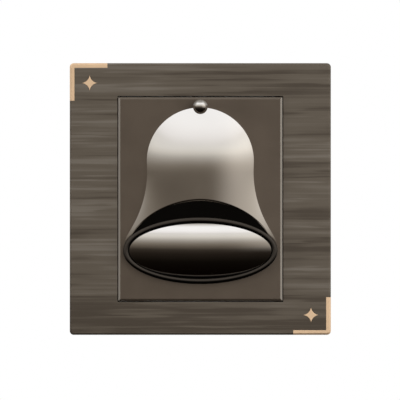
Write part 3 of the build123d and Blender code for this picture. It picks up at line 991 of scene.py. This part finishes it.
    def build_body(self) -> None:
        """The bell's shell.

        A point at height z and turn t lies at x = width(z) sin t, on a low arch of that width and of
        the depth at z. Meridians run from the top to the lip, roll over it and go back up inside,
        nearer to the middle by the wall. An upright edge joins the arches to the key.
        """
        turn = np.linspace(-pi / 2, pi / 2, self.steps + 1)[None, :]
        lip = self.lip_heights(turn)
        polar = np.linspace(0, pi / 2, self.dome_rows + 1)[:-1, None]
        dome = self.dome_z + self.dome * np.cos(polar) + 0 * turn
        share = np.linspace(0, 1, self.skirt_rows + 1)[:, None]
        skirt = self.dome_z + (lip + self.lip_round - self.dome_z) * share
        roll = np.linspace(0, pi / 2, self.roll_rows + 1)[1:, None]
        edge = lip + self.lip_round * (1 - np.sin(roll))
        outer = np.vstack([dome, skirt, edge])
        sink = np.vstack([0 * dome, 0 * skirt, self.lip_round * (1 - np.cos(roll)) + 0 * turn])
        x = self.half_width(outer) * np.sin(turn)
        stand = self.arch(x, outer, sink * np.cos(turn))
        mesh = GridMesh()
        mesh.add(x, self.face - stand, outer)
        foot = np.array([[1.0, 0.0]])
        for column in (slice(0, 1), slice(-1, None)):
            mesh.add(x[:, column], self.face - stand[:, column] * foot, outer[:, column])
        inner = lip + (self.dome_z - lip) * share
        thin = self.wall * np.cos(turn) ** 2
        inner_x = (self.half_width(inner) - thin) * np.sin(turn)
        deep = self.arch(inner_x, inner, thin)
        rims = ((x, inner_x), (self.face - stand, self.face - deep), (lip, inner))
        mesh.add(*(np.vstack([outside[-1:], inside]) for outside, inside in rims))
        close = np.array([[1.0], [0.0]])
        mesh.add(inner_x[-1:] * close, self.face - deep[-1:] * close, np.array(self.dome_z))
        shell = mesh.piece("bell_shell", Body.KEY, Slot.PLATED, BELL_PLATED)
        shell.visible_glossy = False  # the ball's and the bead's edges stay dark beside it
        shell.visible_shadow = False  # the key stays even beside it
        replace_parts(shell, "bell_body")

    def build_ball(self) -> None:
        """The ball on its pin: a profile of a pin and a ball carried round the pin's axis."""
        radius = self.ball_share * self.half
        top = self.ball_top_share * self.half - radius
        start = np.arcsin(self.pin_radius / radius)
        polar = np.linspace(pi - start, 0, self.dome_rows + 1)
        pin_ends = [0.0, self.ball_stand - radius]
        ring = np.concatenate([[self.pin_radius, self.pin_radius], radius * np.sin(polar)])[:, None]
        stand = np.concatenate([pin_ends, self.ball_stand + radius * np.cos(polar)])[:, None]
        turn = np.linspace(0, 2 * pi, self.ball_steps + 1)[None, :]
        mesh = GridMesh()
        mesh.add(ring * np.cos(turn), self.face - stand, top + ring * np.sin(turn))
        ball = mesh.piece("bell_ball", Body.KEY, Slot.POLISHED, BALL_POLISHED)
        ball.visible_glossy = False  # the dome's top stays bright below it
        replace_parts(ball, "bell_finial")

    def build_dish(self) -> None:
        """The black dish: a rounded bead carried round an oval, and a floor behind it.

        The bead's section is half an ellipse between two upright walls. Its crest leans with the
        mouth, further forward at the top. The floor fills the lip's upper oval and the bead's oval; its
        black is the moulding's colour and also painted shade for the inside of the bell's hollow.
        """
        turn = np.linspace(0, 2 * pi, 2 * self.steps + 1)[None, :]
        across, above = np.cos(turn), np.sin(turn)
        arch = np.linspace(0, pi, self.bead_rows + 1)[:, None]
        place = np.vstack([[[0.0]], 0.5 - 0.5 * np.cos(arch), [[1.0]]])
        wide = self.half - self.ring_width * (1 - place)
        rise = self.ring_rise - self.ring_width * (1 - place)
        up = rise * above
        crest = self.ring_height + up[1:-1] * tan(self.tilt) - self.ring_crown * (1 - np.sin(arch))
        stand = np.vstack([self.dish_floor + 0 * turn, crest, 0 * turn])
        mesh = GridMesh()
        mesh.add(wide * across, self.face - stand, self.rim_z + up)
        ring = oval_measure(across, above, self.half, self.ring_rise) ** -0.5
        lip_half, lip_rise = self.lip_half - self.fit, self.lip_rise - self.fit
        lip = oval_measure(across, above, lip_half, lip_rise, self.lip_power) ** (-1 / self.lip_power)
        reach = np.where(above > 0, np.maximum(ring, lip), ring)
        spread = reach * np.vstack([np.linspace(0, 1, self.roll_rows + 1)[:, None], [[1.0]]])
        stand = np.vstack([np.full((self.roll_rows + 1, 1), self.dish_floor), [[0.0]]])
        mesh.add(spread * across, self.face - stand, self.rim_z + spread * above)
        dish = mesh.piece("mouth_dish", Body.KEY, Slot.BLACK, BEZEL_BLACK)
        dish.visible_shadow = False  # the key stays even beside the bead
        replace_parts(dish, "mouth_bezel")

    def build_cap(self) -> None:
        """The polished oval cap, crowned both ways and leaning with the mouth.

        The crown is part of a ring surface: a short arc in height, turned about an upright axis far
        behind the cap. A point is found at each place of the oval by stepping the lean a few times.
        """
        crown = self.cap_crown_share * self.half
        long_arc = (self.cap_half**2 + crown**2) / (2 * crown)
        short_arc = (self.cap_rise**2 + crown**2) / (2 * crown)
        turn = np.linspace(0, 2 * pi, 2 * self.steps + 1)[None, :]
        share = np.sin(np.linspace(0, pi / 2, self.dome_rows + 1))[:, None]
        x = self.cap_half * share * np.cos(turn)
        up = self.cap_rise * share * np.sin(turn)
        lean = up.copy()
        for _ in range(self.lean_tries):
            sag = short_arc - np.sqrt(np.clip(short_arc**2 - lean**2, 0, None))
            back = long_arc - np.sqrt((long_arc - sag) ** 2 - x**2)
            lean = (up - back * sin(self.tilt)) / cos(self.tilt)
        top = self.ring_height - self.cap_sink + crown
        stand = top - back * cos(self.tilt) + lean * sin(self.tilt)
        mesh = GridMesh()
        wall = np.vstack([stand, np.full_like(turn, self.dish_floor)])
        mesh.add(np.vstack([x, x[-1:]]), self.face - wall, self.rim_z + np.vstack([up, up[-1:]]))
        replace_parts(mesh.piece("mouth_cap", Body.KEY, Slot.POLISHED, BELL_POLISHED), "mouth_disc")

    def build(self) -> None:
        """Build the four pieces."""
        self.build_body()
        self.build_ball()
        self.build_dish()
        self.build_cap()


@dataclass
class Key:
    """The pressed key that carries the bell."""

    node: str = "button_key"
    mouth: str = "mouth_bezel"

    def dress(self) -> None:
        """Give the key its satin lacquer and build the bell on it, as wide as its mouth."""
        dress_nodes(KEY_SATIN, self.node)
        low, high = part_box(self.mouth)
        Bell(half=(high.x - low.x) / 2, face=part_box(self.node)[0].y).build()


@dataclass
class CoilSpring:
    """A coil spring of round wire on the plunger's axis. Lengths are metres."""

    name: str
    node: str
    coil: float
    wire: float
    turns: int
    start: float  # depths of the faces it stands between
    end: float
    axis_z: float = -8.0 * MM
    seat_gap: float = 0.02 * MM
    level: float = 0.6  # how far the pitch falls off at the ends
    steps: int = 48
    sides: int = 16

    def build(self) -> bpy.types.Object:
        """The wire: a circle swept along a helix whose pitch is low at both ends.

        At turn t the circle stands square to the helix: it is turned about the radius through t by the
        slope, which is the depth gained per turn over the coil's length. Discs close the ends.

        Returns:
            The spring's piece.
        """
        share = np.linspace(0, 1, self.steps * self.turns + 1)[:, None]
        ring = np.linspace(0, 2 * pi, self.sides + 1)[None, :]
        turn = 2 * pi * self.turns * share
        seat = self.wire + self.seat_gap
        length = self.end - self.start - 2 * seat
        depth = self.start + seat + length * (share - self.level * np.sin(2 * pi * share) / (2 * pi))
        slope = length * (1 - self.level * np.cos(2 * pi * share)) / (2 * pi * self.turns)
        lean = np.arctan2(slope, self.coil)
        out = self.coil + self.wire * np.cos(ring)
        rise = self.wire * np.sin(ring)
        x = out * np.cos(turn) + rise * np.sin(lean) * np.sin(turn)
        y = depth + rise * np.cos(lean)
        z = self.axis_z + out * np.sin(turn) - rise * np.sin(lean) * np.cos(turn)
        mesh = GridMesh()
        mesh.add(x, y, z)
        wire = np.stack([x, y, z])
        for row in (0, -1):
            rim = wire[:, row, None, :]
            middle = rim[..., :-1].mean(axis=-1, keepdims=True)
            mesh.add(*(middle + (rim - middle) * np.array([[1.0], [0.0]])))
        piece = mesh.piece(self.name, Body.PLUNGER, Slot.STEEL, SPRING_STEEL)
        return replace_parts(piece, self.node)

    def yield_to(self) -> None:
        """Build the spring and give its object a mesh of its own.
        """
        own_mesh(self.build())


@dataclass
class Mechanism:
    """The housing behind the plate with its contacts, springs and terminals."""

    mouldings: tuple[str, ...] = ("base_housing", "mechanism_cover")
    plunger: str = "plunger"
    slide: str = "plunger_slide"
    screws: str = "terminal_screws"
    brass: tuple[str, ...] = (
        "contact_bridge",
        "fixed_contact_left",
        "fixed_contact_right",
        "terminal_post_left",
        "terminal_post_right",
    )
    silver: tuple[str, ...] = ("moving_contact_tips", "fixed_contact_tips")
    window: float = 3.1 * MM  # depths between which the contact spring stands in the plunger's window
    bridge: float = 11.3 * MM
    carrier: float = 13.7 * MM  # depths between which the return spring stands behind the plunger
    floor: float = 22.0 * MM
    contact_coil: float = 2.1 * MM
    contact_wire: float = 0.25 * MM
    contact_turns: int = 5
    return_coil: float = 2.7 * MM
    return_wire: float = 0.3 * MM
    return_turns: int = 4
    travel: float = 1.65 * MM

    def dress(self) -> None:
        """Give each part its plastic or metal, and wind the springs."""
        dress_nodes(BASE_PLASTIC, *self.mouldings)
        dress_nodes(PLUNGER_PLASTIC, self.plunger)
        dress_nodes(CONTACT_BRASS, *self.brass)
        dress_nodes(SPRING_STEEL, self.screws)
        dress_nodes(CONTACT_SILVER, *self.silver)
        contact = (self.contact_coil, self.contact_wire, self.contact_turns, self.window, self.bridge)
        pressed = (self.return_coil, self.return_wire, self.return_turns, self.carrier, self.floor)
        CoilSpring("contact_coil", "contact_spring", *contact).build()
        CoilSpring("return_coil", "return_spring", *pressed).yield_to()


@dataclass(frozen=True)
class Softbox:
    """A square light that faces the object and isn't mirrored in it. Lengths are metres."""

    name: str
    place: Point
    side: float
    power: float  # watts

    def build(self) -> None:
        """Hang the light and turn it to the middle of the object."""
        data = bpy.data.lights.new(self.name, "AREA")
        data.size = self.side
        data.energy = self.power
        lamp = bpy.data.objects.new(self.name, data)
        lamp.location = self.place
        towards = -lamp.location
        lamp.rotation_euler = towards.to_track_quat("-Z", "Y").to_euler()
        lamp.visible_glossy = False
        bpy.context.scene.collection.objects.link(lamp)


@dataclass
class Studio:
    """Camera, light and floor. Lengths are metres."""

    distance: float = 1.5
    across: float = 131.72 * MM  # width of the view at the plate's face
    centre_x: float = -0.104 * MM  # place of the view's middle
    centre_z: float = -0.329 * MM
    face: float = -10.0 * MM  # depth of the plate's face
    sensor: float = 36.0  # width in millimetres, as the lens is
    far: float = 20.0
    floor_drop: float = 250.0 * MM
    floor_side: float = 6.0
    lights: tuple[Softbox, ...] = (
        Softbox("front_fill", (0.3, -0.36, 0.08), side=0.5, power=1.9),
        Softbox("left_graze", (-0.42, -0.12, 0.06), side=0.12, power=0.8),
    )
    sky: tuple[tuple[float, Colour], ...] = (
        (-90, (0.002, 0.001, 0.0005)),
        (-47, (0.004, 0.003, 0.002)),
        (-23, (0.015, 0.011, 0.008)),
        (-11, (0.031, 0.024, 0.018)),
        (1, (0.125, 0.103, 0.08)),
        (8, (0.2, 0.172, 0.14)),
        (14, (0.295, 0.265, 0.228)),
        (20, (0.43, 0.4, 0.355)),
        (26, (0.62, 0.58, 0.52)),
        (33, (0.72, 0.69, 0.635)),
        (38.5, (0.72, 0.69, 0.65)),
        (42, (0.86, 0.83, 0.805)),
        (48, (0.95, 0.93, 0.91)),
        (60, (0.97, 0.96, 0.95)),
        (65, (0.76, 0.74, 0.71)),
        (71, (0.4, 0.37, 0.33)),
        (90, (0.2, 0.18, 0.15)),
    )  # degrees above the horizon and the colour there
    sky_wrap: float = 0.25  # how much more a height counts at the sides
    side_colour: Colour = (1.0, 0.91, 0.8)
    side_reach: Span = (0.0, 0.85)  # ways to the right over which the side light comes in
    side_gain: float = 0.53
    side_foot: Span = (-0.35, 0.02)  # heights over which it comes in from below
    side_top: Span = (0.2, 0.95)  # and goes out again above
    behind: Span = (-0.3, 0.3)  # ways to the back over which gloss loses the sky's light
    behind_loss: float = 0.6

    def build(self) -> None:
        """Set up the camera, the world, the lights and the floor."""
        view = bpy.context.scene.view_settings
        view.view_transform = "Standard"
        view.look = "None"
        self.build_camera()
        self.build_world()
        for light in self.lights:
            light.build()
        self.build_floor()

    def build_camera(self) -> None:
        """A long lens straight in front of the plate."""
        data = bpy.data.cameras.new("camera")
        data.sensor_width = self.sensor
        data.lens = self.sensor * self.distance / self.across
        data.clip_end = self.far
        camera = bpy.data.objects.new("camera", data)
        camera.location = (self.centre_x, self.face - self.distance, self.centre_z)
        camera.rotation_euler = (pi / 2, 0, 0)
        bpy.context.scene.collection.objects.link(camera)
        bpy.context.scene.camera = camera

    def build_world(self) -> None:
        """Bright above the horizon and dark below, with a soft side light, and white behind."""
        world = bpy.data.worlds.new("studio")
        world.use_nodes = True
        sheet = NodeSheet(world.node_tree)
        axis = sheet.part(sheet.add("ShaderNodeTexCoord").outputs["Generated"])
        light = sheet.mix(1.0, self.sky_colour(sheet, axis), self.side_light(sheet, axis), "ADD")
        rays = sheet.add("ShaderNodeLightPath").outputs
        lost = sheet.stretch(axis["Y"], self.behind, (0.0, self.behind_loss))
        shown = sheet.maths("SUBTRACT", 1.0, sheet.maths("MULTIPLY", lost, rays["Is Glossy Ray"]))
        glow = sheet.add("ShaderNodeBackground", {"Color": light, "Strength": shown})
        white = sheet.add("ShaderNodeBackground", {"Color": with_alpha(WHITE), "Strength": 1.0})
        both = sheet.add(
            "ShaderNodeMixShader", {0: rays["Is Camera Ray"], 1: glow.outputs[0], 2: white.outputs[0]}
        )
        sheet.add("ShaderNodeOutputWorld", {0: both.outputs[0]})
        bpy.context.scene.world = world

    def sky_colour(self, sheet: NodeSheet, axis: Outputs) -> Socket:
        """The sky's colour by height, from straight down to straight up along a ramp.

        Args:
            sheet: The world's sheet.
            axis: X, Y and Z of the way looked along.

        Returns:
            The colour.
        """
        aside = sheet.maths("MULTIPLY", axis["X"], axis["X"])
        wrap = sheet.maths("MULTIPLY_ADD", aside, self.sky_wrap, 1.0)
        height = sheet.maths("MULTIPLY", axis["Z"], wrap)
        ramp = sheet.add("ShaderNodeValToRGB", {0: sheet.maths("MULTIPLY_ADD", height, 0.5, 0.5)})
        elements = ramp.color_ramp.elements
        for element, (_, colour) in zip(elements, (self.sky[0], self.sky[-1])):
            element.color = with_alpha(colour)
        for degrees, colour in self.sky[1:-1]:
            elements.new((sin(radians(degrees)) + 1) / 2).color = with_alpha(colour)
        return ramp.outputs[0]

    def side_light(self, sheet: NodeSheet, axis: Outputs) -> Socket:
        """A soft light low on the right, whose strength grows with the square of the way there.

        Args:
            sheet: The world's sheet.
            axis: X, Y and Z of the way looked along.

        Returns:
            The light's colour.
        """
        top = sheet.stretch(axis["Z"], self.side_top, (1.0, 0.0))
        low = sheet.maths("MULTIPLY", sheet.stretch(axis["Z"], self.side_foot), top)
        reach = sheet.stretch(axis["X"], self.side_reach, (0.0, self.side_gain))
        right = sheet.maths("MULTIPLY", sheet.maths("MULTIPLY", reach, reach), low)
        return sheet.mix(right, BLACK, self.side_colour)

    def build_floor(self) -> None:
        """A plain white floor well below the plate."""
        side = np.array([[-0.5, 0.5]]) * self.floor_side
        mesh = bpy.data.meshes.new("floor")
        corners = np.broadcast_arrays(side, side.T, -self.floor_drop)
        mesh.from_pydata(np.stack(corners, axis=-1).reshape(-1, 3).tolist(), [], [(0, 1, 3, 2)])
        material = bpy.data.materials.new("floor")
        material.use_nodes = True
        shader = material.node_tree.nodes["Principled BSDF"]
        shader.inputs["Base Color"].default_value = with_alpha(WHITE)
        shader.inputs["Emission Color"].default_value = with_alpha(WHITE)
        shader.inputs["Emission Strength"].default_value = 1.0
        mesh.materials.append(material)
        floor = bpy.data.objects.new("floor", mesh)
        floor.visible_glossy = False
        floor.visible_diffuse = False
        floor.visible_shadow = False
        bpy.context.scene.collection.objects.link(floor)


def main() -> None:
    """Build the studio and the three sub-assemblies."""
    logging.basicConfig(level=logging.INFO, format="%(name)s: %(message)s")
    Studio().build()
    FrontPlate().dress()
    Key().dress()
    Mechanism().dress()


if __name__ == "__main__":
    main()
